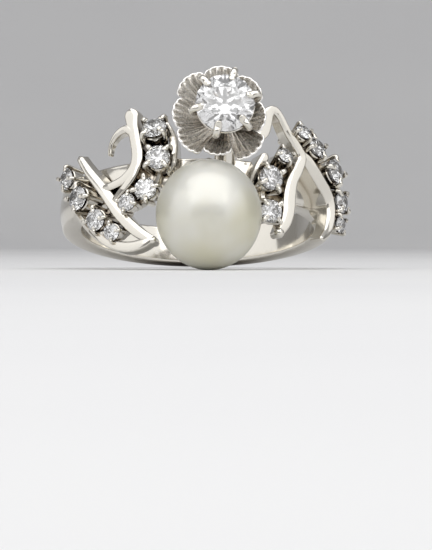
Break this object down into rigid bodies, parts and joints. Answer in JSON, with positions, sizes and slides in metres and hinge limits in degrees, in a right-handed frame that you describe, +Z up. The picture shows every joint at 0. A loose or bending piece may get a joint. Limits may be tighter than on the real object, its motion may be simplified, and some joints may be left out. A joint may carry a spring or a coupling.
{
  "type": "toi et moi ring",
  "caption": "Toi et moi ring with a round pearl beside a round brilliant in a ruffled flower cup, on a pierced crown of scrolls and leaves set with small diamonds.",
  "frame": {"origin": "centre of the finger hole, halfway along the band's width", "axes": "+Z up as the ring rests on its side, -Y towards the crown, +X across the finger; the finger hole's axis leans from +Z towards -Y about X, so that the pearl and the back of the band both touch the surface it rests on"},
  "size_m": [0.0213, 0.0276, 0.0145],
  "materials": {
    "white_gold": "polished rhodium-plated white gold",
    "pearl": "lustrous nacre, cream with silver and faint green overtones",
    "diamond": "polished facets"
  },
  "bodies": {
    "root": {"mounting": "white_gold", "pearl": "pearl", "centre_diamond": "diamond", "side_diamond_01": "diamond", "side_diamond_02": "diamond", "side_diamond_03": "diamond", "side_diamond_04": "diamond", "side_diamond_05": "diamond", "side_diamond_06": "diamond", "side_diamond_07": "diamond", "side_diamond_08": "diamond", "side_diamond_09": "diamond", "side_diamond_10": "diamond", "side_diamond_11": "diamond", "side_diamond_12": "diamond", "side_diamond_13": "diamond", "side_diamond_14": "diamond", "side_diamond_15": "diamond", "side_diamond_16": "diamond"}
  },
  "joints": []
}
